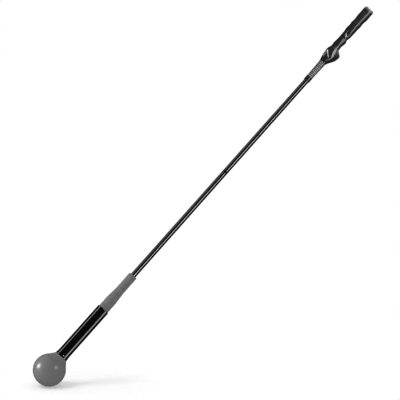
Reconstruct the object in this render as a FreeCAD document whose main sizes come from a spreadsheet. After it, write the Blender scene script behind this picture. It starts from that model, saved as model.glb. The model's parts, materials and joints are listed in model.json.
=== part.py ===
# Swing trainer stick: a weighted ball and tube on a whippy rod, with a moulded training grip.
# The stick stands along +Z. The origin is the lowest point of the ball, on the stick's axis;
# the thumb lobe of the grip points to +X. All sizes are in millimetres.
import FreeCAD, Part
import math
import os
import re
import Sketcher

Z_AXIS = FreeCAD.Vector(0, 0, 1)
X_AXIS = FreeCAD.Vector(1, 0, 0)
ORIGIN = FreeCAD.Vector(0, 0, 0)

DIMENSIONS = {
    # the whole stick
    "overall_length": (1219, "ball to butt, a nominal 48 inches"),
    # head: rubber ball on a steel core
    "ball_diameter": (78, "rubber ball"),
    "neck_top": (81.3, "top of the ball's conical neck, where the tube starts"),
    "neck_diameter": (31.6, "ball's neck under the tube"),
    "core_diameter": (44, "turned steel core"),
    "boss_diameter": (20, "boss of the core, inside the neck"),
    "stud_diameter": (10, "threaded stud between core and plug"),
    "stud_depth": (28, "stud's hold in the core"),
    "stud_hold": (20, "stud's hold in the plug"),
    # head: weight tube and what it holds
    "tube_diameter": (30.2, "weight tube, outside"),
    "tube_bore": (26.6, "weight tube, inside"),
    "tube_length": (149.7, "weight tube"),
    "tube_foot_diameter": (32.4, "weight tube's flared foot, on the ball's neck"),
    "tube_flare": (9, "height of that flare"),
    "tube_edge": (1.2, "rounding of the tube's lower edge"),
    "small_chamfer": (0.6, "broken edges of turned parts"),
    "plug_length": (30, "plug in the tube's lower end"),
    "pad_thickness": (5, "foam pad at either end of the bar"),
    "loose_gap": (0.4, "radial room around the bar and pads"),
    "socket_length": (30, "bushing that holds the rod's foot"),
    "socket_floor": (4, "closed bottom of that bushing"),
    "foot_gap": (0.3, "gap under the rod's foot"),
    "lock_pin_diameter": (3, "pin through plug and stud"),
    "lock_pin_height": (12, "pin above the plug's lower face"),
    "socket_pin_diameter": (4, "pin through socket and rod"),
    "socket_pin_height": (17, "pin above the socket's lower face"),
    "pin_end_gap": (0.6, "how far each cross pin's ends stay below the surface"),
    # rubber sleeve that guards the rod where it leaves the tube
    "sleeve_plug": (20, "length of the sleeve inside the tube"),
    "sleeve_base": (28.5, "straight base above the tube"),
    "sleeve_taper": (31, "length of the taper"),
    "sleeve_top": (47.5, "straight top, up to the mouth"),
    "sleeve_diameter": (21.6, "straight top"),
    "lip_diameter": (22.4, "lip round the mouth"),
    "lip_height": (3, "lip round the mouth"),
    "sleeve_bore": (13.7, "bore of the sleeve"),
    # rod
    "rod_foot_diameter": (13.4, "rod at the head"),
    "rod_tip_diameter": (12.8, "rod at the grip"),
    "rod_fit": (0.05, "radial clearance between the rod and the parts it bends against"),
    "rod_end_gap": (24, "rod's top end below the butt"),
    # grip, measured from its mouth upwards
    "grip_length": (234, "moulded grip, mouth to cap"),
    "mouth_diameter": (15.4, "grip's mouth"),
    "collar_height": (11.8, "plain collar at the mouth"),
    "collar_diameter": (15.9, "top of that collar"),
    "rib_count": (11, "ribs on the neck"),
    "rib_pitch": (4.45, "one rib and one groove"),
    "rib_land": (2.5, "top of one rib"),
    "rib_depth": (0.7, "depth of the grooves"),
    "neck_low_diameter": (16.6, "lowest rib"),
    "neck_high_diameter": (18.8, "highest rib"),
    "waist_diameter": (21, "handle above the lobe"),
    "waist_start": (110, "where the lobe ends"),
    "waist_end": (149, "where the handle starts to swell"),
    "handle_diameter": (25.2, "swollen handle"),
    "handle_start": (208, "where it reaches that size"),
    "butt_diameter": (25.5, "handle under the cap"),
    # thumb lobe: the widest section, and the rise to it
    "lobe_rise": (75, "section half way up the lobe's lower slope"),
    "lobe_widest": (98, "widest section"),
    "lobe_reach": (22.7, "tip of the lobe, from the stick's axis"),
    "lobe_back": (14.7, "far side of the lobe, from the axis"),
    "lobe_depth": (30, "lobe, front to back"),
    "lobe_root": (0.8, "how far the lobe's ends start inside the turned shape"),
    # core of the handle
    "core_tube_diameter": (15.4, "tube that fills the handle out"),
    "core_tube_start": (70, "tube's lower end above the grip's mouth"),
    "core_pin_diameter": (3, "pin through that tube and the rod"),
    "core_pin_height": (20, "pin above the tube's lower end"),
    "tape_thickness": (0.25, "double-sided tape under the grip"),
    "butt_plug_length": (12, "plug in the tube's upper end"),
    "butt_plug_vent": (5, "hole through that plug"),
    # cap
    "cap_height": (6.8, "cap above the grip"),
    "cap_spigot": (4.2, "cap's spigot inside the tube"),
    "cap_edge": (2.6, "rounding of the cap's rim"),
    "vent_diameter": (3.5, "vent hole through the cap"),
}

# Places along the stick, worked out from the sizes above
SLEEVE_FOOT = "(neck_top + tube_length - sleeve_plug)"
SOCKET_FOOT = "(neck_top + tube_length - sleeve_plug - socket_length)"
ROD_FOOT = "(neck_top + tube_length - sleeve_plug - socket_length + socket_floor + foot_gap)"
GRIP_MOUTH = "(overall_length - cap_height - grip_length)"
CORE_TUBE_FOOT = "(overall_length - cap_height - grip_length + core_tube_start)"
SLEEVE_LENGTH = "(sleeve_plug + sleeve_base + sleeve_taper + sleeve_top)"
BAR_LENGTH = "(tube_length - sleeve_plug - socket_length - plug_length - 2 * pad_thickness)"

doc = FreeCAD.newDocument("swing_trainer_stick")
dims = doc.addObject("Spreadsheet::Sheet", "Dims")
for row, (alias, (number, words)) in enumerate(DIMENSIONS.items(), start=1):
    dims.set("A%d" % row, words)
    dims.set("B%d" % row, str(number))
    dims.setAlias("B%d" % row, alias)
doc.recompute()

# one property that works out a formula of the sheet's dimensions
scratch = doc.addObject("App::VarSet", "Scratch")
scratch.addProperty("App::PropertyFloat", "answer")

pieces = []


def bound(formula):
    """The formula as an expression, with each dimension read from the sheet."""
    def cell(word):
        return "Dims." + word.group() if word.group() in DIMENSIONS else word.group()
    return re.sub(r"[a-z_]+", cell, formula)


def value(formula):
    """The formula's present value, in millimetres."""
    scratch.setExpression("answer", bound(formula))
    scratch.recompute()
    return scratch.answer


def bind(thing, prop, formula):
    thing.setExpression(prop, bound(formula))


def new_body(name, foot):
    """An empty body whose own origin stands at the level `foot` on the stick's axis."""
    body = doc.addObject("PartDesign::Body", name)
    body.Label = name
    bind(body, "Placement.Base.z", foot)
    pieces.append(body)
    return body


def new_sketch(body, name, role, level=None):
    """A sketch on one of the body's origin planes, raised to `level` if that is given."""
    sketch = body.newObject("Sketcher::SketchObject", name)
    plane = [feature for feature in body.Origin.OriginFeatures if feature.Role == role][0]
    sketch.AttachmentSupport = [(plane, "")]
    sketch.MapMode = "FlatFace"
    if level:
        bind(sketch, "AttachmentOffset.Base.z", level)
    return sketch


def pin_point(sketch, edge, end, across, along):
    """Hold one end of a sketch edge at (across, along) from the sketch's origin."""
    for kind, axis, formula in (("DistanceX", -2, across), ("DistanceY", -1, along)):
        if formula == "0":
            sketch.addConstraint(Sketcher.Constraint("PointOnObject", edge, end, axis))
            continue
        made = sketch.addConstraint(Sketcher.Constraint(kind, edge, end, value(formula)))
        bind(sketch, "Constraints[%d]" % made, formula)


def draw_outline(sketch, corners):
    """A closed outline of straight edges through the corners, each held by the sheet."""
    count = len(corners)
    points = [FreeCAD.Vector(value(across), value(along), 0) for across, along in corners]
    for index in range(count):
        sketch.addGeometry(Part.LineSegment(points[index], points[(index + 1) % count]), False)
    for index in range(count):
        following = (index + 1) % count
        sketch.addConstraint(Sketcher.Constraint("Coincident", index, 2, following, 1))
        pin_point(sketch, index, 1, *corners[index])


def revolve(body, kind, sketch, name):
    """Turn a sketch round the body's Z axis, as a Revolution or as a Groove."""
    feature = body.newObject("PartDesign::" + kind, name)
    feature.Profile = sketch
    feature.ReferenceAxis = (sketch, ["V_Axis"])
    feature.Angle = 360
    body.Tip = feature
    return feature


def turned(name, foot, corners):
    """A turned piece: its half outline as (radius, height) pairs, heights from `foot`."""
    body = new_body(name, foot)
    sketch = new_sketch(body, name + "_outline", "XZ_Plane")
    draw_outline(sketch, corners)
    revolve(body, "Revolution", sketch, name + "_turned")
    return body


def rod_outline(radius, length, chamfer="small_chamfer"):
    """Half outline of a solid round bar with chamfered ends."""
    return [
        ("0", "0"),
        ("%s - %s" % (radius, chamfer), "0"),
        (radius, chamfer),
        (radius, "%s - %s" % (length, chamfer)),
        ("%s - %s" % (radius, chamfer), length),
        ("0", length),
    ]


def ring_outline(inner, outer, length):
    """Half outline of a plain tube."""
    return [(inner, "0"), (outer, "0"), (outer, length), (inner, length)]


def cross_hole(body, name, height, diameter):
    """Drill a hole straight through the body along Y, and check that it cuts."""
    sketch = new_sketch(body, name + "_circle", "XZ_Plane")
    circle = Part.Circle(FreeCAD.Vector(0, value(height), 0), Z_AXIS, value(diameter) / 2)
    sketch.addGeometry(circle, False)
    pin_point(sketch, 0, 3, "0", height)
    size = sketch.addConstraint(Sketcher.Constraint("Diameter", 0, value(diameter)))
    bind(sketch, "Constraints[%d]" % size, diameter)
    doc.recompute()
    volume = body.Shape.Volume
    pocket = body.newObject("PartDesign::Pocket", name)
    pocket.Profile = sketch
    pocket.Type = "ThroughAll"
    pocket.Midplane = True
    body.Tip = pocket
    doc.recompute()
    if body.Shape.Volume >= volume:
        raise ValueError(name + " cuts nothing")


def axial_hole(body, name, top, diameter, depth):
    """Drill a blind or through hole down the body's axis from the level `top`."""
    sketch = new_sketch(body, name + "_centre", "XY_Plane", top)
    sketch.addGeometry(Part.Circle(ORIGIN, Z_AXIS, value(diameter) / 2), False)
    pin_point(sketch, 0, 3, "0", "0")
    size = sketch.addConstraint(Sketcher.Constraint("Diameter", 0, value(diameter)))
    bind(sketch, "Constraints[%d]" % size, diameter)
    doc.recompute()
    volume = body.Shape.Volume
    hole = body.newObject("PartDesign::Hole", name)
    hole.Profile = sketch
    hole.DepthType = "Dimension"
    bind(hole, "Diameter", diameter)
    bind(hole, "Depth", depth)
    body.Tip = hole
    doc.recompute()
    if body.Shape.Volume >= volume:
        raise ValueError(name + " cuts nothing")


def soften(body, name, kind, radius, height, size):
    """Fillet or chamfer the round edge of the body at (radius, height)."""
    doc.recompute()
    base = body.Tip
    chosen = []
    for number, edge in enumerate(base.Shape.Edges, start=1):
        if not isinstance(edge.Curve, Part.Circle):
            continue
        near_radius = abs(edge.Curve.Radius - value(radius)) < 1e-4
        near_height = abs(edge.Curve.Center.z - value(height)) < 1e-4
        if near_radius and near_height:
            chosen.append("Edge%d" % number)
    feature = body.newObject("PartDesign::" + kind, name)
    feature.Base = (base, chosen)
    bind(feature, "Radius" if kind == "Fillet" else "Size", size)
    body.Tip = feature


def cross_pin(name, level, diameter, holder):
    """A plain pin that lies along Y, just shorter than the diameter of the piece it crosses."""
    length = "(%s - 2 * pin_end_gap)" % holder
    pin = doc.addObject("Part::Cylinder", name)
    pin.Label = name
    bind(pin, "Radius", diameter + " / 2")
    bind(pin, "Height", length)
    pin.Placement = FreeCAD.Placement(ORIGIN, FreeCAD.Rotation(X_AXIS, 90))
    bind(pin, "Placement.Base.y", length + " / 2")
    bind(pin, "Placement.Base.z", level)
    pieces.append(pin)


def draw_ball(sketch, radius, top_radius, top, tangent):
    """Half outline of a ball round the sketch's origin, with a neck that ends at `top`.

    The neck is a cone that leaves the ball at a tangent, or else a straight boss.
    """
    ball, neck, height = value(radius), value(top_radius), value(top)
    if tangent:
        # the tangent point lies at this angle from the ball's upper pole
        angle = math.atan2(neck, height) + math.acos(ball / math.hypot(neck, height))
        start = FreeCAD.Vector(ball * math.sin(angle), ball * math.cos(angle), 0)
    else:
        start = FreeCAD.Vector(neck, math.sqrt(ball ** 2 - neck ** 2), 0)
    pole = FreeCAD.Vector(0, -ball, 0)
    side = FreeCAD.Vector(ball, 0, 0)
    corner = FreeCAD.Vector(neck, height, 0)
    axis_top = FreeCAD.Vector(0, height, 0)
    sketch.addGeometry(Part.Arc(pole, side, start), False)
    sketch.addGeometry(Part.LineSegment(start, corner), False)
    sketch.addGeometry(Part.LineSegment(corner, axis_top), False)
    sketch.addGeometry(Part.LineSegment(axis_top, pole), False)
    pin_point(sketch, 0, 3, "0", "0")
    pin_point(sketch, 1, 2, top_radius, top)
    sketch.addConstraint(Sketcher.Constraint("Coincident", 1, 2, 2, 1))
    sketch.addConstraint(Sketcher.Constraint("Coincident", 2, 2, 3, 1))
    sketch.addConstraint(Sketcher.Constraint("Coincident", 3, 2, 0, 1))
    sketch.addConstraint(Sketcher.Constraint("PointOnObject", 0, 1, -2))
    sketch.addConstraint(Sketcher.Constraint("Horizontal", 2))
    sketch.addConstraint(Sketcher.Constraint("PointOnObject", 2, 2, -2))
    if tangent:
        sketch.addConstraint(Sketcher.Constraint("Tangent", 0, 2, 1, 1))
    else:
        sketch.addConstraint(Sketcher.Constraint("Coincident", 0, 2, 1, 1))
        sketch.addConstraint(Sketcher.Constraint("Vertical", 1))
    size = sketch.addConstraint(Sketcher.Constraint("Radius", 0, ball))
    bind(sketch, "Constraints[%d]" % size, radius)


def make_ball():
    """Steel core with a boss, and the rubber ball moulded on it; the stud ties both to the tube."""
    neck_height = "(neck_top - ball_diameter / 2)"
    core = new_body("ball_core", "ball_diameter / 2")
    sketch = new_sketch(core, "core_outline", "XZ_Plane")
    draw_ball(sketch, "core_diameter / 2", "boss_diameter / 2", neck_height, tangent=False)
    revolve(core, "Revolution", sketch, "core_turned")
    axial_hole(core, "core_stud_hole", neck_height, "stud_diameter", "stud_depth")

    cover = new_body("ball_cover", "ball_diameter / 2")
    sketch = new_sketch(cover, "cover_outline", "XZ_Plane")
    draw_ball(sketch, "ball_diameter / 2", "neck_diameter / 2", neck_height, tangent=True)
    revolve(cover, "Revolution", sketch, "cover_moulded")
    sketch = new_sketch(cover, "cavity_outline", "XZ_Plane")
    draw_ball(sketch, "core_diameter / 2", "boss_diameter / 2", neck_height, tangent=False)
    revolve(cover, "Groove", sketch, "core_cavity")

    stud_foot = "(neck_top - stud_depth)"
    stud = turned("head_stud", stud_foot, rod_outline("stud_diameter / 2", "(stud_depth + stud_hold)"))
    cross_hole(stud, "stud_pin_hole", "(stud_depth + lock_pin_height)", "lock_pin_diameter")


def make_weight_tube():
    """Tube between ball and rod, with its plug, foam pads, weight bar and rod socket."""
    flare_growth = "(tube_foot_diameter - tube_diameter) / 2"
    tube = turned("weight_tube", "neck_top", [
        ("tube_bore / 2", "0"),
        ("tube_foot_diameter / 2", "0"),
        ("tube_diameter / 2 + %s * 0.4" % flare_growth, "tube_flare * 0.4"),
        ("tube_diameter / 2", "tube_flare"),
        ("tube_diameter / 2", "tube_length"),
        ("tube_bore / 2", "tube_length"),
    ])
    soften(tube, "tube_lower_edge", "Fillet", "tube_foot_diameter / 2", "0", "tube_edge")
    soften(tube, "tube_upper_edge", "Chamfer", "tube_diameter / 2", "tube_length", "small_chamfer")

    plug_wall = ring_outline("stud_diameter / 2", "tube_bore / 2", "plug_length")
    plug = turned("lower_end_plug", "neck_top", plug_wall)
    cross_hole(plug, "plug_pin_hole", "lock_pin_height", "lock_pin_diameter")
    cross_pin("stud_lock_pin", "(neck_top + lock_pin_height)", "lock_pin_diameter", "tube_bore")

    pad_radius = "(tube_bore / 2 - loose_gap)"
    bar_foot = "(neck_top + plug_length + pad_thickness)"
    disc = [("0", "0"), (pad_radius, "0"), (pad_radius, "pad_thickness"), ("0", "pad_thickness")]
    turned("lower_damping_pad", "(neck_top + plug_length)", disc)
    turned("weight_bar", bar_foot, rod_outline(pad_radius, BAR_LENGTH))
    turned("upper_damping_pad", bar_foot + " + " + BAR_LENGTH, disc)

    rod_hole = "(rod_foot_diameter / 2 + rod_fit)"
    socket = turned("shaft_socket", SOCKET_FOOT, [
        ("0", "0"),
        ("tube_bore / 2", "0"),
        ("tube_bore / 2", "socket_length"),
        (rod_hole, "socket_length"),
        (rod_hole, "socket_floor"),
        ("0", "socket_floor"),
    ])
    cross_hole(socket, "socket_pin_hole", "socket_pin_height", "socket_pin_diameter")
    pin_level = SOCKET_FOOT + " + socket_pin_height"
    cross_pin("socket_cross_pin", pin_level, "socket_pin_diameter", "tube_bore")


def make_sleeve():
    """Rubber sleeve: plugged into the tube, tapered to the rod, with a lip at its mouth."""
    base_end = "(sleeve_plug + sleeve_base)"
    taper_end = "(sleeve_plug + sleeve_base + sleeve_taper)"
    lip_start = "(%s - lip_height)" % SLEEVE_LENGTH
    sleeve = turned("taper_sleeve", SLEEVE_FOOT, [
        ("sleeve_bore / 2", "0"),
        ("tube_bore / 2", "0"),
        ("tube_bore / 2", base_end),
        ("sleeve_diameter / 2", taper_end),
        ("sleeve_diameter / 2", lip_start),
        ("lip_diameter / 2", lip_start + " + lip_height / 3"),
        ("lip_diameter / 2", SLEEVE_LENGTH),
        ("sleeve_bore / 2", SLEEVE_LENGTH),
    ])
    soften(sleeve, "mouth_edge", "Fillet", "lip_diameter / 2", SLEEVE_LENGTH, "small_chamfer")


def make_shaft():
    """Glass-fibre rod: from the socket in the tube to just under the butt, slightly tapered."""
    length = "(overall_length - rod_end_gap - %s)" % ROD_FOOT
    taper_start = "(%s + %s - %s)" % (SLEEVE_FOOT, SLEEVE_LENGTH, ROD_FOOT)
    taper_end = "(%s - %s)" % (GRIP_MOUTH, ROD_FOOT)
    shaft = turned("shaft", ROD_FOOT, [
        ("0", "0"),
        ("rod_foot_diameter / 2", "0"),
        ("rod_foot_diameter / 2", taper_start),
        ("rod_tip_diameter / 2", taper_end),
        ("rod_tip_diameter / 2", length),
        ("0", length),
    ])
    socket_pin = "(socket_pin_height - socket_floor - foot_gap)"
    core_pin = "(%s + core_pin_height - %s)" % (CORE_TUBE_FOOT, ROD_FOOT)
    cross_hole(shaft, "rod_socket_pin_hole", socket_pin, "(socket_pin_diameter + 2 * rod_fit)")
    cross_hole(shaft, "rod_core_pin_hole", core_pin, "(core_pin_diameter + 2 * rod_fit)")


def rib_corners():
    """Corners of the ribbed neck's outline, rib by rib, on a gentle cone."""
    growth = "(neck_high_diameter - neck_low_diameter)"
    corners = []
    for rib in range(int(value("rib_count"))):
        radius = "(neck_low_diameter + %s * %d / rib_count) / 2" % (growth, rib)
        valley = "(%s - rib_depth)" % radius
        foot = "(collar_height + %d * rib_pitch)" % rib
        slope = "(rib_pitch - rib_land) / 3"
        corners.append((valley, "%s + %s" % (foot, slope)))
        corners.append((radius, "%s + 2 * %s" % (foot, slope)))
        corners.append((radius, "%s + 2 * %s + rib_land" % (foot, slope)))
        corners.append((valley, "%s + rib_pitch" % foot))
    return corners


def lobe_section(body, name, height, reach, back, depth):
    """One oval section of the lobe: from `back` behind the axis to `reach` in front of it."""
    sketch = new_sketch(body, name, "XY_Plane", height)
    centre = FreeCAD.Vector((value(reach) - value(back)) / 2, 0, 0)
    wide = (value(reach) + value(back)) / 2
    deep = value(depth) / 2
    widest = centre + FreeCAD.Vector(wide, 0, 0)
    deepest = centre + FreeCAD.Vector(0, deep, 0)
    oval = sketch.addGeometry(Part.Ellipse(widest, deepest, centre), False)
    sketch.exposeInternalGeometry(oval)
    pin_point(sketch, oval, 3, "(%s - %s) / 2" % (reach, back), "0")
    sketch.addConstraint(Sketcher.Constraint("Horizontal", oval + 1))
    for axis, formula in ((oval + 1, "(%s + %s)" % (reach, back)), (oval + 2, depth)):
        size = sketch.addConstraint(Sketcher.Constraint("Distance", axis, value(formula)))
        bind(sketch, "Constraints[%d]" % size, formula)
    return sketch


def make_grip():
    """Moulded rubber grip: collar, ribbed neck, thumb lobe and swelling handle."""
    neck_end = "(collar_height + rib_count * rib_pitch)"
    grip = turned("grip", GRIP_MOUTH, [
        ("0", "0"),
        ("mouth_diameter / 2", "0"),
        ("collar_diameter / 2", "collar_height"),
        *rib_corners(),
        ("neck_high_diameter / 2", neck_end + " + rib_land / 2"),
        ("waist_diameter / 2", "waist_start"),
        ("waist_diameter / 2", "waist_end"),
        ("handle_diameter / 2", "handle_start"),
        ("butt_diameter / 2", "grip_length"),
        ("0", "grip_length"),
    ])
    # The lobe grows out of the neck, is widest near its top and falls back fast to the waist.
    # Both of its ends lie a little inside the turned shape, so that it comes out at an angle.
    neck_radius = "(neck_high_diameter / 2 - lobe_root)"
    waist_radius = "(waist_diameter / 2 - lobe_root)"
    sections = [
        lobe_section(grip, "lobe_foot", neck_end, neck_radius + " * 1.02", neck_radius,
                     "2 * " + neck_radius),
        lobe_section(grip, "lobe_lower", "lobe_rise", "lobe_reach * 0.62", "lobe_back * 0.78",
                     "lobe_depth * 0.8"),
        lobe_section(grip, "lobe_wide", "lobe_widest", "lobe_reach", "lobe_back", "lobe_depth"),
        lobe_section(grip, "lobe_top", "waist_start", waist_radius + " * 1.02", waist_radius,
                     "2 * " + waist_radius),
    ]
    loft = grip.newObject("PartDesign::AdditiveLoft", "thumb_lobe")
    loft.Profile = sections[0]
    loft.Sections = sections[1:]
    loft.Ruled = False
    grip.Tip = loft

    rod_hole = "(rod_tip_diameter / 2 + rod_fit)"
    tape_hole = "(core_tube_diameter / 2 + tape_thickness)"
    bore = new_sketch(grip, "grip_bore_outline", "XZ_Plane")
    draw_outline(bore, [
        ("0", "0"),
        (rod_hole, "0"),
        (rod_hole, "core_tube_start"),
        (tape_hole, "core_tube_start"),
        (tape_hole, "grip_length"),
        ("0", "grip_length"),
    ])
    revolve(grip, "Groove", bore, "grip_bore")


def make_handle_core():
    """What fills the grip's handle: a tube pinned to the rod, its tape and its end plug."""
    rod_hole = "(rod_tip_diameter / 2 + rod_fit)"
    outside = "core_tube_diameter / 2"
    length = "(grip_length - core_tube_start)"
    tube = turned("grip_core_tube", CORE_TUBE_FOOT, ring_outline(rod_hole, outside, length))
    cross_hole(tube, "core_tube_pin_hole", "core_pin_height", "core_pin_diameter")
    pin_level = CORE_TUBE_FOOT + " + core_pin_height"
    cross_pin("core_cross_pin", pin_level, "core_pin_diameter", "core_tube_diameter")
    tape = ring_outline(outside, "(%s + tape_thickness)" % outside, length)
    turned("grip_tape", CORE_TUBE_FOOT, tape)
    plug_foot = "(overall_length - cap_height - cap_spigot - butt_plug_length)"
    turned("butt_plug", plug_foot, ring_outline("butt_plug_vent / 2", rod_hole, "butt_plug_length"))


def make_butt_cap():
    """Cap over the end of the grip: a rounded disc on a short spigot, with a vent hole."""
    spigot = "(rod_tip_diameter / 2 + rod_fit)"
    height = "(cap_spigot + cap_height)"
    cap = turned("butt_cap", "(overall_length - %s)" % height, [
        ("0", "0"),
        (spigot, "0"),
        (spigot, "cap_spigot"),
        ("butt_diameter / 2", "cap_spigot"),
        ("butt_diameter / 2", height),
        ("0", height),
    ])
    soften(cap, "cap_rim", "Fillet", "butt_diameter / 2", height, "cap_edge")
    axial_hole(cap, "vent_hole", height, "vent_diameter", height + " + cap_spigot")


make_ball()
make_weight_tube()
make_sleeve()
make_shaft()
make_grip()
make_handle_core()
make_butt_cap()
doc.recompute()

for thing in doc.Objects:
    if "Invalid" in thing.State or "Error" in thing.State:
        raise ValueError("%s failed: %s" % (thing.Label, thing.State))
for piece in pieces:
    if piece.Shape.isNull() or not piece.Shape.isValid() or len(piece.Shape.Solids) != 1:
        raise ValueError("%s is not one valid solid" % piece.Label)

os.makedirs("parts", exist_ok=True)
for piece in pieces:
    piece.Shape.exportStep("parts/%s.step" % piece.Label)
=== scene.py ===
import json
import math

import bmesh
import bpy
import numpy as np
from mathutils import Matrix, Vector


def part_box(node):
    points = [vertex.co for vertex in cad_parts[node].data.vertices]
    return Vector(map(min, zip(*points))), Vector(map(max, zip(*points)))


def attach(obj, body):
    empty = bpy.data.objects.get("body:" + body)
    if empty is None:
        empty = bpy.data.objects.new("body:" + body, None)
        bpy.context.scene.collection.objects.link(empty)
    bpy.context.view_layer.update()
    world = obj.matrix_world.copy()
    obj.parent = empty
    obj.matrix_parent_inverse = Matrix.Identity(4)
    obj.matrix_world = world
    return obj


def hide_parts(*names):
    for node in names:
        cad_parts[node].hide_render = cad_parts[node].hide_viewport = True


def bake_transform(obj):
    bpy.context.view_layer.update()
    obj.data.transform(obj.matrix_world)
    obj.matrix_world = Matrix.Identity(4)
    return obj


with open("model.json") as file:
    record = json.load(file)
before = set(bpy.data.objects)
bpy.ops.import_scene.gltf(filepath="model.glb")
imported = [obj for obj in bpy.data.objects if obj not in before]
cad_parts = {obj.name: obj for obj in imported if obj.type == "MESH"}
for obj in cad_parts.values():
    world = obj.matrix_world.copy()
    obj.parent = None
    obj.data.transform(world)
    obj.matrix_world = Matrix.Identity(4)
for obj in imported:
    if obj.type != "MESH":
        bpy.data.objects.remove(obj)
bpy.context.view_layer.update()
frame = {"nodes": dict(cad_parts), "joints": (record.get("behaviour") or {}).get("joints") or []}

MM = 0.001


# ---------------------------------------------------------------- places and sizes, read from the frame

def level(node, end):
    """Height of a CAD node's foot ("low") or top ("high") on the stick's axis."""
    low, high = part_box(node)
    return low.z if end == "low" else high.z


def widest(node):
    """Half of a CAD node's width across Y."""
    low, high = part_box(node)
    return (high.y - low.y) / 2


def radius_at(node, height):
    """Outer radius of a turned CAD node at one of its own edges."""
    vertices = frame["nodes"][node].data.vertices
    near = [math.hypot(v.co.x, v.co.y) for v in vertices if abs(v.co.z - height) < 0.05 * MM]
    return max(near)


def bore_radius(node):
    """Radius of the narrowest bore through a turned CAD node."""
    return min(math.hypot(v.co.x, v.co.y) for v in frame["nodes"][node].data.vertices)


BALL_RADIUS = widest("ball_cover")
NECK_TOP = level("ball_cover", "high")
NECK_RADIUS = radius_at("ball_cover", NECK_TOP)
CORE_RADIUS = widest("ball_core")
BOSS_RADIUS = radius_at("ball_core", NECK_TOP)
FLARE_TOP = NECK_TOP + 9 * MM
TUBE_RADIUS = radius_at("weight_tube", FLARE_TOP)
FOOT_RADIUS = widest("weight_tube")
TUBE_BORE = bore_radius("weight_tube")
TUBE_TOP = level("weight_tube", "high")
SLEEVE_FOOT = level("taper_sleeve", "low")
SLEEVE_MOUTH = level("taper_sleeve", "high")
SLEEVE_BORE = bore_radius("taper_sleeve")
SLEEVE_BASE_END = TUBE_TOP + 28.5 * MM
SLEEVE_TAPER_END = SLEEVE_BASE_END + 31 * MM
SLEEVE_RADIUS = radius_at("taper_sleeve", SLEEVE_TAPER_END)
ROD_FOOT = level("shaft", "low")
ROD_TOP = level("shaft", "high")
ROD_FOOT_RADIUS = radius_at("shaft", ROD_FOOT)
ROD_TIP_RADIUS = radius_at("shaft", ROD_TOP)
GRIP_MOUTH = level("grip", "low")
GRIP_TOP = level("grip", "high")
CAP_FOOT = level("butt_cap", "low")
CAP_RADIUS = radius_at("butt_cap", GRIP_TOP)
SPIGOT_RADIUS = radius_at("butt_cap", CAP_FOOT)
VENT_RADIUS = bore_radius("butt_cap")
BUTT = level("butt_cap", "high")
TAPE_FOOT = level("grip_tape", "low")
GRIP_BORE = widest("grip_tape")
MOUTH_BORE = bore_radius("grip")
PIVOTS = {joint["name"]: joint["pos_m"][2] for joint in frame["joints"]}

# fine shapes that the CAD pieces leave out
CONE_SAG = 0.5 * MM
BAND_GROWTH = 0.25 * MM
BAND_HEIGHT = 3.6 * MM
BAND_STEP = 0.5 * MM
LIP_GROWTH = 0.4 * MM
LIP_HEIGHT = 2.4 * MM
LIP_SLOPE = 0.8 * MM
CAP_GAP = 0.9 * MM
CAP_GAP_DEPTH = 0.5 * MM


# ---------------------------------------------------------------- mesh helpers

def rounded(corners, steps=6):
    """A closed outline through (radius, height, rounding) corners, with each corner as an arc."""
    outline = []
    count = len(corners)
    for index, (r, z, size) in enumerate(corners):
        here = Vector((r, z))
        if size <= 0:
            outline.append((r, z))
            continue
        before = Vector(corners[index - 1][:2])
        after = Vector(corners[(index + 1) % count][:2])
        to_before = (before - here).normalized()
        to_after = (after - here).normalized()
        half = to_before.angle(to_after) / 2
        reach = size / math.tan(half)
        centre = here + (to_before + to_after).normalized() * (size / math.sin(half))
        first = here + to_before * reach - centre
        last = here + to_after * reach - centre
        sweep = first.angle_signed(last)
        for step in range(steps + 1):
            arc = Matrix.Rotation(-sweep * step / steps, 2) @ first
            outline.append(tuple(centre + arc))
    return outline


def subdivide(outline, longest):
    """Split an outline's long stretches, so that no ring of the mesh is taller than `longest`."""
    dense = []
    for (r0, z0), (r1, z1) in zip(outline, outline[1:] + outline[:1]):
        parts = max(1, math.ceil(math.hypot(r1 - r0, z1 - z0) / longest))
        for part in range(parts):
            share = part / parts
            dense.append((r0 + (r1 - r0) * share, z0 + (z1 - z0) * share))
    return dense


def grid_mesh(name, rings):
    """A closed skin over rings of points: the last ring joins the first, and poles are merged."""
    count, around = rings.shape[:2]
    index = np.arange(count * around).reshape(count, around)
    above = np.roll(index, -1, axis=0)
    quads = np.stack([index, np.roll(index, -1, axis=1), np.roll(above, -1, axis=1), above], axis=-1)
    mesh = bpy.data.meshes.new(name)
    mesh.from_pydata(rings.reshape(-1, 3).tolist(), [], quads.reshape(-1, 4).tolist())
    work = bmesh.new()
    work.from_mesh(mesh)
    bmesh.ops.remove_doubles(work, verts=work.verts, dist=1e-7)
    bmesh.ops.dissolve_degenerate(work, edges=work.edges, dist=1e-7)
    bmesh.ops.recalc_face_normals(work, faces=work.faces)
    for face in work.faces:
        face.smooth = True
    work.to_mesh(mesh)
    work.free()
    piece = bpy.data.objects.new(name, mesh)
    bpy.context.scene.collection.objects.link(piece)
    return piece


def lathe(name, outline, around=96):
    """A turned piece: its closed outline of (radius, height) points, swept round the axis."""
    profile = np.array(outline)
    angles = np.linspace(0, 2 * math.pi, around, endpoint=False)
    rings = np.empty((len(profile), around, 3))
    rings[:, :, 0] = profile[:, :1] * np.sin(angles)
    rings[:, :, 1] = -profile[:, :1] * np.cos(angles)
    rings[:, :, 2] = profile[:, 1:]
    return grid_mesh(name, rings)


# ---------------------------------------------------------------- materials

# texture cells to the metre for cells of one millimetre
PER_MM = 1 / MM


def node_material(name):
    """A new material, its node tree and its main shader."""
    material = bpy.data.materials.new(name)
    material.use_nodes = True
    tree = material.node_tree
    return material, tree, tree.nodes["Principled BSDF"]


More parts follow.
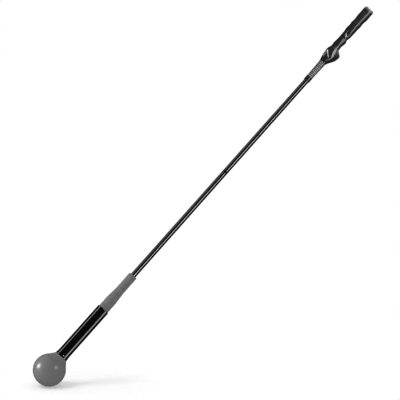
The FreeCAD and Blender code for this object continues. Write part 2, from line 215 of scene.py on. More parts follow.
def texture_place(tree, stretch=(1, 1, 1)):
    """Object coordinates in metres, optionally stretched along an axis."""
    place = tree.nodes.new("ShaderNodeTexCoord")
    mapping = tree.nodes.new("ShaderNodeMapping")
    mapping.inputs["Scale"].default_value = stretch
    tree.links.new(place.outputs["Object"], mapping.inputs["Vector"])
    return mapping.outputs["Vector"]


def noise(tree, vector, scale, detail):
    """Cloudy noise with `scale` features to the metre."""
    node = tree.nodes.new("ShaderNodeTexNoise")
    node.inputs["Scale"].default_value = scale
    node.inputs["Detail"].default_value = detail
    node.inputs["Roughness"].default_value = 0.55
    tree.links.new(vector, node.inputs["Vector"])
    return node.outputs["Fac"]


def combine(tree, operation, first, second):
    """A math node's result from two sources."""
    node = tree.nodes.new("ShaderNodeMath")
    node.operation = operation
    tree.links.new(first, node.inputs[0])
    tree.links.new(second, node.inputs[1])
    return node.outputs[0]


def ramp(tree, source, low, high, start=0.3, end=0.7):
    """Map a grey source, from `start` to `end`, to the stretch between two values or two colours."""
    if np.isscalar(low):
        node = tree.nodes.new("ShaderNodeMapRange")
        node.inputs["From Min"].default_value = start
        node.inputs["From Max"].default_value = end
        node.inputs["To Min"].default_value = low
        node.inputs["To Max"].default_value = high
        tree.links.new(source, node.inputs["Value"])
        return node.outputs["Result"]
    node = tree.nodes.new("ShaderNodeValToRGB")
    for element, place, colour in zip(node.color_ramp.elements, (start, end), (low, high)):
        element.position = place
        element.color = (*colour, 1)
    tree.links.new(source, node.inputs["Fac"])
    return node.outputs["Color"]


def bump(tree, shader, heights):
    """Stack bumps, each (height source, distance in metres, strength), on the shader."""
    normal = None
    for source, distance, strength in heights:
        node = tree.nodes.new("ShaderNodeBump")
        node.inputs["Distance"].default_value = distance
        node.inputs["Strength"].default_value = strength
        tree.links.new(source, node.inputs["Height"])
        if normal:
            tree.links.new(normal, node.inputs["Normal"])
        normal = node.outputs["Normal"]
    tree.links.new(normal, shader.inputs["Normal"])


def rubber(name, dark, light, rough, grain_mm, grain_depth_mm, mottle=12.0):
    """Moulded rubber: two close greys, a satin skin that varies, and a fine moulded grain."""
    material, tree, shader = node_material(name)
    vector = texture_place(tree)
    cloud = noise(tree, vector, mottle, 4.0)
    tree.links.new(ramp(tree, cloud, dark, light), shader.inputs["Base Color"])
    smudge = noise(tree, vector, mottle * 4, 5.0)
    tree.links.new(ramp(tree, smudge, rough * 0.9, rough * 1.12), shader.inputs["Roughness"])
    grain = noise(tree, vector, PER_MM / grain_mm, 2.0)
    pores = noise(tree, vector, 3 * PER_MM / grain_mm, 1.0)
    bump(tree, shader, [(grain, grain_depth_mm * MM, 0.5), (pores, grain_depth_mm * MM / 3, 0.4)])
    return material


def paint_paler(material, pale, attribute):
    """Paint a rubber paler where a mesh attribute says so: a painted highlight or painted light, not
    wear.
    """
    tree = material.node_tree
    shader = tree.nodes["Principled BSDF"]
    skin = shader.inputs["Base Color"].links[0].from_socket
    mask = tree.nodes.new("ShaderNodeAttribute")
    mask.attribute_name = attribute
    mix = tree.nodes.new("ShaderNodeMix")
    mix.data_type = "RGBA"
    tree.links.new(mask.outputs["Fac"], mix.inputs["Factor"])
    tree.links.new(skin, mix.inputs["A"])
    mix.inputs["B"].default_value = (*pale, 1)
    tree.links.new(mix.outputs["Result"], shader.inputs["Base Color"])


def gloss_black(name, rough, peel_mm, peel_depth_mm, stretch=(1, 1, 1)):
    """Gloss black lacquer: a near-black base under a clear coat with a slight orange peel."""
    material, tree, shader = node_material(name)
    vector = texture_place(tree, stretch)
    cloud = noise(tree, vector, 25, 3.0)
    tree.links.new(ramp(tree, cloud, (0.010, 0.010, 0.011), (0.016, 0.016, 0.017)),
                   shader.inputs["Base Color"])
    haze = noise(tree, vector, 90, 5.0)
    tree.links.new(ramp(tree, haze, rough * 0.85, rough * 1.2), shader.inputs["Roughness"])
    shader.inputs["Coat Weight"].default_value = 0.6
    shader.inputs["Coat Roughness"].default_value = rough * 0.6
    peel = noise(tree, vector, PER_MM / peel_mm, 1.0)
    bump(tree, shader, [(peel, peel_depth_mm * MM, 0.15)])
    return material


def metal(name, colour, rough, stretch):
    """Turned metal: fine tool lines round the axis and a little tarnish."""
    material, tree, shader = node_material(name)
    shader.inputs["Metallic"].default_value = 1.0
    lines = noise(tree, texture_place(tree, stretch), 900, 2.0)
    cloud = noise(tree, texture_place(tree), 40, 3.0)
    darker = tuple(channel * 0.8 for channel in colour)
    tree.links.new(ramp(tree, cloud, darker, colour), shader.inputs["Base Color"])
    tree.links.new(ramp(tree, lines, rough * 0.8, rough * 1.3), shader.inputs["Roughness"])
    bump(tree, shader, [(lines, 0.02 * MM, 0.3)])
    return material


def speckled(name, dark, light, cell_mm, rough, depth_mm):
    """Foam, cloth tape or nylon: small cells in two close colours."""
    material, tree, shader = node_material(name)
    vector = texture_place(tree)
    cells = tree.nodes.new("ShaderNodeTexVoronoi")
    cells.inputs["Scale"].default_value = PER_MM / cell_mm
    tree.links.new(vector, cells.inputs["Vector"])
    tree.links.new(ramp(tree, cells.outputs["Distance"], dark, light, 0.1, 0.7),
                   shader.inputs["Base Color"])
    shader.inputs["Roughness"].default_value = rough
    bump(tree, shader, [(cells.outputs["Distance"], depth_mm * MM, 0.5)])
    return material


# mesh attribute that says where the grip's rubber is painted pale: a painted highlight on the neck ribs'
# crests, and painted light over a patch of pips on the lobe
PAINTED_SHEEN_AND_PIPS = "painted_sheen_and_pips"
BALL_RUBBER = rubber("ball_rubber", (0.290, 0.290, 0.290), (0.315, 0.315, 0.314), 0.33, 0.5, 0.02)
SLEEVE_RUBBER = rubber("sleeve_rubber", (0.250, 0.250, 0.249), (0.330, 0.330, 0.329), 0.60, 0.35, 0.05,
                       130)
GRIP_RUBBER = rubber("grip_rubber", (0.052, 0.052, 0.053), (0.070, 0.070, 0.071), 0.29, 0.45, 0.02, 30)
# the pale grey is painted light: a painted highlight on the ribs' crests, and painted light broken into
# pips on the lobe's lower left
paint_paler(GRIP_RUBBER, (0.58, 0.58, 0.58), PAINTED_SHEEN_AND_PIPS)
CAP_RUBBER = rubber("cap_rubber", (0.230, 0.230, 0.229), (0.270, 0.270, 0.268), 0.45, 0.4, 0.02, 30)
TUBE_LACQUER = gloss_black("tube_lacquer", 0.15, 2.5, 0.01)
ROD_LACQUER = gloss_black("rod_lacquer", 0.18, 1.2, 0.01, (1, 1, 0.04))
STEEL = metal("steel", (0.56, 0.56, 0.57), 0.3, (0.1, 0.1, 1))
ALLOY = metal("alloy", (0.80, 0.80, 0.82), 0.28, (0.1, 0.1, 1))
FOAM = speckled("foam", (0.02, 0.02, 0.022), (0.05, 0.05, 0.052), 0.8, 0.9, 0.3)
TAPE = speckled("tape", (0.42, 0.38, 0.26), (0.60, 0.56, 0.42), 0.5, 0.8, 0.1)
NYLON = speckled("nylon", (0.70, 0.69, 0.63), (0.80, 0.79, 0.74), 2.5, 0.45, 0.02)


def finish_piece(piece, material, body, node):
    """Give a new piece its material and tie it to the frame."""
    piece.data.materials.append(material)
    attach(piece, body)
    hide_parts(node)
    return piece


# ---------------------------------------------------------------- head

def ball_arc(radius, first, last, steps):
    """Points on a circle round the ball's centre, between two angles from its top."""
    angles = [first + (last - first) * step / steps for step in range(steps + 1)]
    return [(radius * math.sin(angle), BALL_RADIUS + radius * math.cos(angle)) for angle in angles]


def make_ball():
    """Rubber ball that runs at a tangent into a conical neck, hollow round its steel core."""
    height = NECK_TOP - BALL_RADIUS
    corner = math.atan2(NECK_RADIUS, height)
    leave = corner + math.acos(BALL_RADIUS / math.hypot(NECK_RADIUS, height))
    outline = ball_arc(BALL_RADIUS, math.pi, leave, 56)
    # the cone sags a little between ball and tube, as moulded rubber does
    start = Vector(outline[-1])
    end = Vector((NECK_RADIUS, NECK_TOP))
    sag = Vector((-0.6, -1.0)) * CONE_SAG
    steps = 12
    for step in range(1, steps + 1):
        place = start.lerp(end, step / steps) + sag * math.sin(math.pi * step / steps)
        outline.append(tuple(place))
    # cavity for the core: down the boss, then round the core's ball
    outline.append((BOSS_RADIUS, NECK_TOP))
    outline += ball_arc(CORE_RADIUS, math.asin(BOSS_RADIUS / CORE_RADIUS), math.pi, 24)
    return lathe("ball", outline, 128)


def make_tube():
    """Tube whose foot is a low band over the ball's neck, with a shoulder and a flare above it."""
    band = FOOT_RADIUS + BAND_GROWTH
    band_top = NECK_TOP + BAND_HEIGHT
    outline = rounded([
        (TUBE_BORE, NECK_TOP, 0.4 * MM),
        (band, NECK_TOP, 0.6 * MM),
        (band - 0.05 * MM, band_top, 1.2 * MM),
        (band - 0.05 * MM - BAND_STEP, band_top + 0.8 * MM, 1.2 * MM),
        (TUBE_RADIUS, FLARE_TOP + 2 * MM, 20 * MM),
        (TUBE_RADIUS, TUBE_TOP, 0.6 * MM),
        (TUBE_BORE, TUBE_TOP, 0.3 * MM),
    ])
    return lathe("tube", subdivide(outline, 4 * MM), 128)


def make_sleeve():
    """Sleeve with a plain base that plugs into the tube, a long taper and a lip at its mouth."""
    lip = SLEEVE_RADIUS + LIP_GROWTH
    lip_foot = SLEEVE_MOUTH - LIP_HEIGHT
    outline = rounded([
        (SLEEVE_BORE, SLEEVE_FOOT, 0),
        (TUBE_BORE, SLEEVE_FOOT, 0.8 * MM),
        (TUBE_BORE, SLEEVE_BASE_END, 60 * MM),
        (SLEEVE_RADIUS, SLEEVE_TAPER_END, 60 * MM),
        (SLEEVE_RADIUS, lip_foot - LIP_SLOPE, 1.0 * MM),
        (lip, lip_foot, 0.4 * MM),
        (lip, SLEEVE_MOUTH, 1.0 * MM),
        (SLEEVE_BORE, SLEEVE_MOUTH, 0.5 * MM),
    ])
    return lathe("sleeve", subdivide(outline, 3 * MM), 96)


ball = finish_piece(make_ball(), BALL_RUBBER, "head", "ball_cover")
tube = finish_piece(make_tube(), TUBE_LACQUER, "head", "weight_tube")
sleeve = finish_piece(make_sleeve(), SLEEVE_RUBBER, "head", "taper_sleeve")


# ---------------------------------------------------------------- rod, in two halves

ROD_MIDDLE = (PIVOTS["upper_flex"] + PIVOTS["lower_flex"]) / 2


def rod_radius(z):
    """The rod tapers between the sleeve's mouth and the grip's mouth."""
    share = (z - SLEEVE_MOUTH) / (GRIP_MOUTH - SLEEVE_MOUTH)
    return ROD_FOOT_RADIUS + (ROD_TIP_RADIUS - ROD_FOOT_RADIUS) * min(1.0, max(0.0, share))


def make_rod(name, low, high):
    """One stretch of the rod, in rings close enough to bend smoothly."""
    count = math.ceil((high - low) / (4 * MM))
    outline = [(0.0, low)]
    for step in range(count + 1):
        z = low + (high - low) * step / count
        outline.append((rod_radius(z), z))
    outline.append((0.0, high))
    rod = lathe(name, outline, 64)
    rod.data.materials.append(ROD_LACQUER)
    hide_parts("shaft")
    return rod


upper_rod = make_rod("rod_upper", ROD_MIDDLE, ROD_TOP)
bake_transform(upper_rod)
lower_rod = make_rod("rod_lower", ROD_FOOT, ROD_MIDDLE)
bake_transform(lower_rod)


# ---------------------------------------------------------------- grip
# Its shape is a radius for each angle and height. Angles go round from the front (-Y), +90 degrees
# being the lobe's side (+X), and heights go up from the grip's mouth. Lengths are in millimetres.

MOUTH_RADIUS = radius_at("grip", GRIP_MOUTH) / MM
MOUTH_RIM = 0.8
COLLAR_HEIGHT = 11.9
COLLAR_RADIUS = 7.95
NECK_LOW_RADIUS = 8.35
NECK_HIGH_RADIUS = 9.45
RIB_PITCH = 4.54
RIB_COUNT = 11
RIB_DEPTH = 1.35
RIBS_END = COLLAR_HEIGHT + RIB_COUNT * RIB_PITCH

# radius of the handle up each of its four sides, as (height, radius) points
HANDLE_SIDES = {
    "front": [
        (63, 9.4), (112, 10.5), (124, 10.2), (142, 10.6), (160, 11.2), (178, 12.0), (200, 12.5),
        (216, 12.75), (234, 12.7),
    ],
    "right": [
        (63, 9.4), (110, 10.6), (121, 9.2), (134, 11.2), (147, 11.3), (160, 10.9), (172, 11.2),
        (183, 11.2), (192, 12.0), (201, 11.2), (216, 12.8), (234, 12.6),
    ],
    "back": [
        (63, 9.4), (110, 10.5), (122, 9.4), (136, 11.3), (149, 9.9), (162, 11.6), (174, 10.6),
        (186, 12.1), (199, 11.2), (212, 12.8), (234, 12.7),
    ],
    "left": [
        (63, 9.4), (110, 11.5), (118, 12.1), (130, 11.2), (145, 11.0), (156, 11.4), (169, 12.7),
        (178, 12.0), (188, 12.7), (199, 12.2), (211, 13.1), (234, 12.7),
    ],
}

# heights of the lobe's ends, how far each end takes to merge with its neighbour, and the rounding
# of its edges in steps of the mesh
LOBE_FOOT = 63.0
LOBE_TOP = 118.0
NECK_MERGE = 2.0
HANDLE_MERGE = 10.0
LOBE_SOFTNESS = 1.6

# edges of the faceted lobe, going round from the left, as (height, x, towards the front) points
LOBE_EDGES = [
    [
        (62, -9.6, 0), (71.4, -11.9, 0), (79, -13.6, 0), (86.6, -14.7, 0), (94.2, -15.1, 0),
        (99, -14.6, 0), (103, -13.2, 0), (109.4, -11.5, 0), (114, -11.6, 0), (118, -12.0, 0),
    ],
    [
        (62, -6.8, 6.8), (71, -8.4, 7.6), (79, -10.0, 7.6), (87, -12.0, 6.4), (93, -12.4, 6.0),
        (102, -11.4, 6.2), (110, -9.0, 6.6), (118, -8.4, 7.4),
    ],
    [
        (62, 0.0, 9.6), (68, 1.6, 12.0), (74, 2.8, 14.0), (80, -2.6, 12.0), (86, -7.8, 9.6),
        (91, -10.6, 7.8), (102, -8.0, 8.6), (110, -5.0, 9.6), (118, -4.4, 10.0),
    ],
    [
        (62, 3.0, 9.2), (68, 4.4, 11.4), (74, 5.4, 13.4), (80, 6.8, 13.8), (85, 5.4, 13.7),
        (92, 2.0, 13.4), (102, 0.0, 12.4), (110, 0.0, 11.4), (118, 0.6, 10.7),
    ],
    [
        (62, 5.6, 7.9), (68, 7.4, 9.6), (74, 9.4, 11.6), (80, 11.0, 12.4), (85, 11.0, 11.8),
        (92, 9.6, 11.0), (102, 6.6, 10.1), (110, 5.6, 9.4), (118, 5.2, 9.1),
    ],
    [
        (62, 9.6, 0), (71.4, 13.6, 0), (79, 18.4, 0), (86.6, 21.9, 0), (94.2, 23.3, 0),
        (99.5, 24.0, 0.4), (103, 20.4, 2.0), (106, 15.4, 4.2), (109.4, 10.4, 4.6),
        (111.5, 9.4, 3.6), (118, 9.2, 0),
    ],
    [
        (62, 6.8, -6.8), (79, 11.0, -10.5), (92, 13.0, -12.5), (102, 10.5, -10.5),
        (110, 7.6, -7.4), (118, 6.6, -6.8),
    ],
    [
        (62, 0, -9.6), (79, 0.5, -12.4), (92, 1.0, -14.2), (102, 0.5, -12.8), (110, 0, -10.7),
        (118, 0, -9.9),
    ],
    [
        (62, -6.8, -6.8), (79, -8.9, -8.6), (92, -9.8, -9.3), (102, -9.0, -8.6),
        (110, -8.0, -7.8), (118, -7.8, -7.3),
    ],
]

# lip along the lobe's front ridge, between two points given as (x, height)
RIDGE_LEFT = (-12.4, 91.0)
RIDGE_LOW = (2.2, 74.4)
RIDGE_RISE = 1.3
RIDGE_WIDTH = 1.5

# slanting groove on the handle, through an (x, height) point, x being taken at the handle's usual radius
GROOVE_POINT = (-3.8, 156.0)
GROOVE_SLOPE = -0.815
GROOVE_DEPTH = 2.5
GROOVE_LOWER_WALL = 5.0
GROOVE_UPPER_WALL = 8.0
HANDLE_RADIUS = 11.0

# smaller shapes: the spine's crest, its toe, the sunk panel and the pips
SPINE_DEGREES = 16.5
SPINE_SPREAD = (-30, SPINE_DEGREES)
TOE_RISE = 1.5
TOE_TURN = 0.2
TOE_HEIGHT = 66.5
PANEL_DEPTH = 0.3
PIP_PITCH = 4.4
PIPS_AROUND = 16

# fineness of the grip's mesh: points round it, and the height of a ring
GRIP_SIDES = 176
GRIP_RING = 0.42


def ease(value):
    """Smooth step from 0 to 1."""
    share = np.clip(value, 0, 1)
    return share * share * (3 - 2 * share)


def between(value, low, high, fade):
    """1 between two limits, fading to 0 outside them."""
    return ease((value - low) / fade + 0.5) * ease((high - value) / fade + 0.5)


def smooth_curve(points, at):
    """A smooth curve through (place, value) points, level at both ends."""
    places, values = np.array(points, float).T
    slopes = np.zeros_like(values)
    slopes[1:-1] = (values[2:] - values[:-2]) / (places[2:] - places[:-2])
    at = np.clip(at, places[0], places[-1])
    cell = np.clip(np.searchsorted(places, at, side="right") - 1, 0, len(places) - 2)
    width = places[cell + 1] - places[cell]
    t = (at - places[cell]) / width
    rise = 3 * t ** 2 - 2 * t ** 3
    leaving = (t ** 3 - 2 * t ** 2 + t) * width * slopes[cell]
    arriving = (t ** 3 - t ** 2) * width * slopes[cell + 1]
    return (1 - rise) * values[cell] + rise * values[cell + 1] + leaving + arriving


def around_axis(theta, sides):
    """Blend four values, one for each side, smoothly round the grip."""
    cos, sin = np.cos(theta), np.sin(theta)
    return (np.maximum(cos, 0) ** 2 * sides["front"] + np.maximum(sin, 0) ** 2 * sides["right"]
            + np.maximum(-cos, 0) ** 2 * sides["back"] + np.maximum(-sin, 0) ** 2 * sides["left"])


def lobe_radius(theta, height):
    """Faceted lobe: at each height, straight chords from edge to edge."""
    edges = []
    for points in LOBE_EDGES:
        x = smooth_curve([(at, x) for at, x, forth in points], height)
        forth = smooth_curve([(at, forth) for at, x, forth in points], height)
        edges.append((np.arctan2(x, forth), np.hypot(x, forth)))
    radius = np.zeros(np.broadcast(theta, height).shape)
    for (start, near), (end, far) in zip(edges, edges[1:] + edges[:1]):
        span = (end - start) % (2 * math.pi)
        along = (theta - start) % (2 * math.pi)
        chord = np.sin(span) / (np.sin(span - along) / near + np.sin(along) / far)
        radius = np.where(along <= span, chord, radius)
    return radius


def soften(values, across, along):
    """Round the edges of a ring-by-ring map of radii: blur it round the ring and up the stick."""
    for axis, width in ((1, across), (0, along)):
        reach = int(3 * width)
        steps = np.arange(-reach, reach + 1)
        weights = np.exp(-0.5 * (steps / width) ** 2)
        mode = "wrap" if axis == 1 else "edge"
        padding = [(reach, reach) if place == axis else (0, 0) for place in (0, 1)]
        padded = np.pad(values, padding, mode=mode)
        total = sum(weight * np.take(padded, range(shift, shift + values.shape[axis]), axis=axis)
                    for shift, weight in enumerate(weights / weights.sum()))
        values = total
    return values


def across_line(x, height, start, end):
    """Distance from the line through two (x, height) points, and the share of the way along it."""
    run = np.array(end, float) - np.array(start, float)
    length = np.linalg.norm(run)
    run /= length
    side = np.array([-run[1], run[0]])
    offset_x, offset_h = x - start[0], height - start[1]
    return offset_x * side[0] + offset_h * side[1], (offset_x * run[0] + offset_h * run[1]) / length


def neck_radius(height):
    """Collar and ribbed neck, turned shapes."""
    collar = MOUTH_RADIUS + (COLLAR_RADIUS - MOUTH_RADIUS) * height / COLLAR_HEIGHT
    below_rim = np.clip(MOUTH_RIM - height, 0, MOUTH_RIM)
    collar = collar - MOUTH_RIM + np.sqrt(MOUTH_RIM ** 2 - below_rim ** 2)
    climb = np.clip((height - COLLAR_HEIGHT) / (RIBS_END - COLLAR_HEIGHT), 0, 1)
    crest = NECK_LOW_RADIUS + (NECK_HIGH_RADIUS - NECK_LOW_RADIUS) * climb
    # the power makes the valleys between the ribs broad, and the ribs' crests narrow
    wave = (0.5 + 0.5 * np.cos(2 * math.pi * (height - COLLAR_HEIGHT) / RIB_PITCH)) ** 0.6
    ribbed = between(height, COLLAR_HEIGHT, RIBS_END, 0.6)
    return np.where(height < COLLAR_HEIGHT, collar, crest) - RIB_DEPTH * wave * ribbed


def plain_radii(theta, height):
    """Radius of the handle alone, and of neck, lobe and handle joined, before the small shapes."""
    handle = around_axis(theta, {side: smooth_curve(points, height)
                                 for side, points in HANDLE_SIDES.items()})
    lobe = soften(lobe_radius(theta, height), LOBE_SOFTNESS, LOBE_SOFTNESS)
    lobe = lobe + (handle - lobe) * ease((height - LOBE_TOP + HANDLE_MERGE) / HANDLE_MERGE)
    body = np.where((height > LOBE_FOOT) & (height < LOBE_TOP), lobe, handle)
    joining = ease((height - LOBE_FOOT) / NECK_MERGE)
    return handle, neck_radius(height) * (1 - joining) + body * joining


def ridge_lip(theta, height, radius):
    """Raised lip along the lobe's front ridge."""
    x = radius * np.sin(theta)
    offset, share = across_line(x, height, RIDGE_LEFT, RIDGE_LOW)
    lip = RIDGE_RISE * np.exp(-(offset / RIDGE_WIDTH) ** 2) * between(share, -0.05, 0.9, 0.15)
    return np.where(np.cos(theta) > -0.1, lip, 0)


def slanting_groove(theta, height):
    """Groove round the right side: a steep lower wall that faces up, and a long upper one."""
    x = HANDLE_RADIUS * np.sin(theta)
    drop = height - (GROOVE_POINT[1] + GROOVE_SLOPE * (x - GROOVE_POINT[0]))
    width = np.where(drop < 0, GROOVE_LOWER_WALL, GROOVE_UPPER_WALL)
    return GROOVE_DEPTH * np.exp(-(drop / width) ** 2) * between(np.degrees(theta), -26, 125, 12)


def spine_crest(theta, height, handle):
    """Flat crest that carries the lobe's spine on up the front."""
    degrees = np.degrees(theta)
    # the crest's left edge, in degrees, moves further left as it climbs
    left = 6 - 15 * (height - 112) / 19
    facet = (handle - 0.1) / np.cos(theta - math.radians(SPINE_DEGREES))
    share = ease((degrees - left) / 4 + 0.5) * between(height, 112, 138, 6)
    crest = np.clip(facet - handle, 0, 2) * share
    return np.where((degrees > SPINE_SPREAD[0]) & (degrees < SPINE_SPREAD[1]), crest, 0)


def spine_toe(theta, height):
    """Small toe where the lobe's spine runs out on the neck."""
    around = 10 * (theta - TOE_TURN) / 2.4
    return TOE_RISE * np.exp(-around ** 2 - ((height - TOE_HEIGHT) / 1.9) ** 2)


def sunk_panel(theta, height):
    """Shallow sunk panel on the left of the handle's front."""
    return PANEL_DEPTH * between(np.degrees(theta), -105, 0, 24) * between(height, 190.5, 227, 6)


def grip_radius(theta, height):
    """Outer radius of the whole grip, with its small shapes."""
    handle, radius = plain_radii(theta, height)
    radius = radius + ridge_lip(theta, height, radius)
    radius = radius - slanting_groove(theta, height)
    radius = radius + spine_crest(theta, height, handle)
    radius = radius + spine_toe(theta, height)
    return radius - sunk_panel(theta, height)


def mark_painted_sheen_and_pips(mesh):
    """Mark where the rubber is painted paler: a painted highlight on the ribs' crests, painted light on
    a patch of pips.
    """
    places = np.array([vertex.co[:] for vertex in mesh.vertices])
    height = (places[:, 2] - GRIP_MOUTH) / MM
    degrees = np.degrees(np.arctan2(places[:, 0], -places[:, 1]))
    wave = 0.5 - 0.5 * np.cos(2 * math.pi * (height - COLLAR_HEIGHT) / RIB_PITCH)
    # the paler crests are a painted highlight on the neck's ribs
    crests = ease((wave - 0.58) / 0.3) * between(height, COLLAR_HEIGHT, RIBS_END, 0.6)
    # the pips are low on the lobe's left, and their patch is painted light with a pattern of pips in it
    checks = np.cos(2 * math.pi * height / PIP_PITCH) * np.cos(np.radians(degrees * PIPS_AROUND))
    patch = between(degrees, -120, -44, 18) * between(height, 73, 92, 6)
    pips = (0.675 + 0.325 * checks) * patch
    mesh.attributes.new(PAINTED_SHEEN_AND_PIPS, "FLOAT", "POINT").data.foreach_set("value", crests + 0.75 * pips)


def make_grip():
    """Grip in rings up its outside, then down its bore, which narrows to the rod's below the tape."""
    theta = np.linspace(-math.pi, math.pi, GRIP_SIDES, endpoint=False)[None, :]
    top = (GRIP_TOP - GRIP_MOUTH) / MM
    heights = np.linspace(0, top, round(top / GRIP_RING))[:, None]
    tape_foot = (TAPE_FOOT - GRIP_MOUTH) / MM
    bore = [(GRIP_BORE / MM, top), (GRIP_BORE / MM, tape_foot),
            (MOUTH_BORE / MM, tape_foot), (MOUTH_BORE / MM, 0.0)]
    bore_radii, bore_heights = np.array(bore).T[:, :, None]
    radii = np.concatenate([grip_radius(theta, heights), bore_radii + 0 * theta])
    levels = np.concatenate([heights, bore_heights]) + 0 * theta
    rings = np.stack([radii * np.sin(theta), -radii * np.cos(theta), levels], axis=-1) * MM
    rings[:, :, 2] += GRIP_MOUTH
    piece = grid_mesh("grip_rubber", rings)
    mark_painted_sheen_and_pips(piece.data)
    return piece


def make_cap():
    """Cap with a shadow gap over the grip, a rounded rim and a vent."""
    neck = CAP_RADIUS - CAP_GAP_DEPTH
    rim_foot = GRIP_TOP + CAP_GAP
    outline = rounded([
        (VENT_RADIUS, CAP_FOOT, 0.2 * MM),
        (SPIGOT_RADIUS, CAP_FOOT, 0.3 * MM),
        (SPIGOT_RADIUS, GRIP_TOP, 0),
        (neck, GRIP_TOP, 0.1 * MM),
        (neck, rim_foot, 0.1 * MM),
        (CAP_RADIUS, rim_foot, 0.3 * MM),
        (CAP_RADIUS, BUTT, 2.4 * MM),
        (VENT_RADIUS, BUTT, 0.4 * MM),
    ])
    return lathe("cap", subdivide(outline, 2 * MM), 96)


grip = finish_piece(make_grip(), GRIP_RUBBER, "handle", "grip")
cap = finish_piece(make_cap(), CAP_RUBBER, "handle", "butt_cap")


# ---------------------------------------------------------------- hidden CAD pieces keep their shape

HIDDEN_LOOKS = {
    "ball_core": STEEL,
    "head_stud": STEEL,
    "stud_lock_pin": STEEL,
    "weight_bar": STEEL,
    "socket_cross_pin": STEEL,
    "core_cross_pin": STEEL,
    "lower_end_plug": ALLOY,
    "shaft_socket": ALLOY,
    "grip_core_tube": ALLOY,
    "lower_damping_pad": FOAM,
    "upper_damping_pad": FOAM,
    "grip_tape": TAPE,
    "butt_plug": NYLON,
}
for node, material in HIDDEN_LOOKS.items():
    mesh = frame["nodes"][node].data
    mesh.materials.clear()
    mesh.materials.append(material)


# ---------------------------------------------------------------- camera

CAMERA_DISTANCE = 3.8685
CAMERA_LENS = 144.0
CAMERA_TILT = math.radians(8.0)
CAMERA_ROLL = math.radians(41.63)
FOCUS_HEIGHT = 0.5826
FOCUS_SIDE = -0.0006

forward = Vector((0, math.cos(CAMERA_TILT), math.sin(CAMERA_TILT)))
plain_up = Vector((0, -math.sin(CAMERA_TILT), math.cos(CAMERA_TILT)))
plain_right = Vector((1, 0, 0))
camera_up = plain_up * math.cos(CAMERA_ROLL) - plain_right * math.sin(CAMERA_ROLL)
camera_right = plain_right * math.cos(CAMERA_ROLL) + plain_up * math.sin(CAMERA_ROLL)
focus = Vector((FOCUS_SIDE, 0, FOCUS_HEIGHT))

camera_data = bpy.data.cameras.new("camera")
camera_data.sensor_width = 36.0
camera_data.lens = CAMERA_LENS
camera = bpy.data.objects.new("camera", camera_data)
bpy.context.scene.collection.objects.link(camera)
turn = Matrix((camera_right, camera_up, -forward)).transposed().to_4x4()
camera.matrix_world = Matrix.Translation(focus - forward * CAMERA_DISTANCE) @ turn
camera_data.clip_start = 0.05
camera_data.clip_end = 100.0
bpy.context.scene.camera = camera


# ---------------------------------------------------------------- floor, world and lights

# how far the camera looks down on the floor, the floor's radius, and its shift to the camera's right
FLOOR_VIEW = math.radians(7.0)
FLOOR_REACH = 0.22
FLOOR_SHIFT = 0.05
FLOOR_GLOW = 0.41
# the floor lies just clear of the ball, as a share of the ball's radius
FLOOR_CLEARANCE = 1.002


def floor_material():
    """White that fades out at its rim, from below, and where it isn't seen from the camera's side."""
    material, tree, shader = node_material("floor_white")
    shader.inputs["Base Color"].default_value = (0.5, 0.5, 0.5, 1)
    shader.inputs["Roughness"].default_value = 0.9
    shader.inputs["Specular IOR Level"].default_value = 0.0
    shader.inputs["Emission Color"].default_value = (1, 1, 1, 1)
    shader.inputs["Emission Strength"].default_value = FLOOR_GLOW
    place = tree.nodes.new("ShaderNodeTexCoord")
    length = tree.nodes.new("ShaderNodeVectorMath")
    length.operation = "LENGTH"
    tree.links.new(place.outputs["Object"], length.inputs[0])
    inside = ramp(tree, length.outputs["Value"], 1.0, 0.0, FLOOR_REACH * 0.6, FLOOR_REACH)
    geometry = tree.nodes.new("ShaderNodeNewGeometry")
    above = ramp(tree, geometry.outputs["Backfacing"], 1.0, 0.0, 0.0, 1.0)
    facing = tree.nodes.new("ShaderNodeVectorMath")
    facing.operation = "DOT_PRODUCT"
    tree.links.new(geometry.outputs["Incoming"], facing.inputs[0])
    facing.inputs[1].default_value = -forward
    from_front = ramp(tree, facing.outputs["Value"], 0.0, 1.0, 0.6, 0.85)
    alpha = combine(tree, "MULTIPLY", combine(tree, "MULTIPLY", inside, above), from_front)
    tree.links.new(alpha, shader.inputs["Alpha"])
    return material


def make_floor():
    """Pale round floor under the ball, level as the camera sees it."""
    mesh = bpy.data.meshes.new("floor")
    work = bmesh.new()
    bmesh.ops.create_circle(work, cap_ends=True, segments=96, radius=FLOOR_REACH)
    work.to_mesh(mesh)
    work.free()
    mesh.materials.append(floor_material())
    floor = bpy.data.objects.new("floor", mesh)
    bpy.context.scene.collection.objects.link(floor)
    up = camera_up * math.cos(FLOOR_VIEW) - forward * math.sin(FLOOR_VIEW)
    contact = Vector((0, 0, BALL_RADIUS)) - up * BALL_RADIUS * FLOOR_CLEARANCE
    turn = up.to_track_quat("Z", "Y").to_matrix().to_4x4()
    floor.matrix_world = Matrix.Translation(contact + camera_right * FLOOR_SHIFT) @ turn
    floor.visible_shadow = False
    floor.visible_diffuse = False
    floor.visible_glossy = False
    return floor


def make_world(fill, dark):
    """White to the camera, `fill` as soft light from all round, and `dark` in reflections."""
    world = bpy.data.worlds.new("studio")
    world.use_nodes = True
    world.cycles.sampling_method = "NONE"
    bpy.context.scene.world = world
    tree = world.node_tree
    rays = tree.nodes.new("ShaderNodeLightPath")
    seen = ramp(tree, rays.outputs["Is Camera Ray"], dark, 1.0, 0.0, 1.0)
    soft = ramp(tree, rays.outputs["Is Diffuse Ray"], 0.0, fill - dark, 0.0, 1.0)
    background = tree.nodes["Background"]
    background.inputs["Color"].default_value = (1, 1, 1, 1)
    tree.links.new(combine(tree, "ADD", seen, soft), background.inputs["Strength"])


def make_light_rig():
    """An empty that carries the lights and turns about the stick, so that they follow the camera."""
    rig = bpy.data.objects.new("light_rig", None)
    bpy.context.scene.collection.objects.link(rig)
    follow = rig.constraints.new("LOCKED_TRACK")
    follow.target = camera
    follow.track_axis = "TRACK_NEGATIVE_Y"
    follow.lock_axis = "LOCK_Z"
    return rig


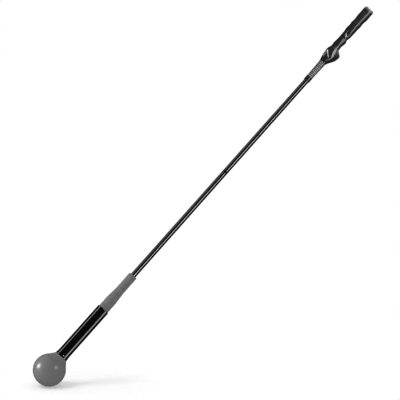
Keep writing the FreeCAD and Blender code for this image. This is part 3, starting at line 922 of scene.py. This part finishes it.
def soft_box(name, lit, part, place, target, size, radiance):
    """A soft box that lights only the pieces in `lit`, either in reflections ("shine") or as "fill".

    Its place is an azimuth and an elevation in degrees and a distance in metres from the target, a
    height on the stick. Azimuth 0 is the camera's side, +90 is +X. Its size is a width and a height.
    """
    azimuth, elevation, distance = place
    width, tall = size
    data = bpy.data.lights.new(name, "AREA")
    data.shape = "RECTANGLE"
    data.size = width
    data.size_y = tall
    data.energy = radiance * math.pi * width * tall
    lamp = bpy.data.objects.new(name, data)
    bpy.context.scene.collection.objects.link(lamp)
    lamp.parent = rig
    turned, raised = math.radians(azimuth), math.radians(elevation)
    away = Vector((math.sin(turned) * math.cos(raised), -math.cos(turned) * math.cos(raised),
                   math.sin(raised)))
    lamp.location = Vector((0, 0, target)) + away * distance
    lamp.rotation_euler = (-away).to_track_quat("-Z", "Y").to_euler()
    lamp.visible_diffuse = part == "fill"
    lamp.visible_glossy = part == "shine"
    lamp.visible_camera = False
    receivers = bpy.data.collections.new(name + "_lights")
    for piece in lit:
        receivers.objects.link(piece)
    lamp.light_linking.receiver_collection = receivers
    return lamp


floor = make_floor()
make_world(0.95, 0.05)
rig = make_light_rig()
rods = [upper_rod, lower_rod]
handles = [grip, cap]
soft_box("tube_left", [tube], "shine", (-83, 0, 1.6), 0.1, (0.5, 3.0), 6.6)
soft_box("tube_foot", [tube], "shine", (33, 52, 1.0), 0.08, (0.25, 0.25), 140.0)
soft_box("tube_right", [tube], "shine", (70, 0, 1.6), 0.0, (0.95, 3.2), 5.6)
soft_box("rod_left", rods, "shine", (-74, 0, 1.6), 0.9, (1.3, 3.0), 3.4)
soft_box("rod_right", rods, "shine", (35, 0, 1.8), 1.0, (0.63, 3.2), 18.5)
soft_box("grip_key", handles, "shine", (36, 0, 1.8), 1.3, (1.15, 2.4), 7.8)
soft_box("grip_top", handles, "shine", (0, 66, 1.3), 1.1, (2.6, 1.2), 14.0)
soft_box("ball_left", [ball], "shine", (-85, -21, 1.2), 0.04, (0.24, 0.34), 50.0)
soft_box("ball_right", [ball], "shine", (31, 42, 1.2), 0.04, (0.22, 0.22), 22.0)
# the floor's own lamp doesn't turn with the rig, so the shadow keeps its place on the floor
floor_light = soft_box("floor_light", [floor], "fill", (-70, 14, 2.0), 0.0, (0.9, 0.9), 5.5)
floor_light.parent = None
soft_box("left_fill", [ball, sleeve], "fill", (-85, -21, 1.6), 0.15, (0.8, 0.8), 6.0)

bpy.context.scene.view_settings.view_transform = "Standard"
bpy.context.scene.view_settings.gamma = 0.6
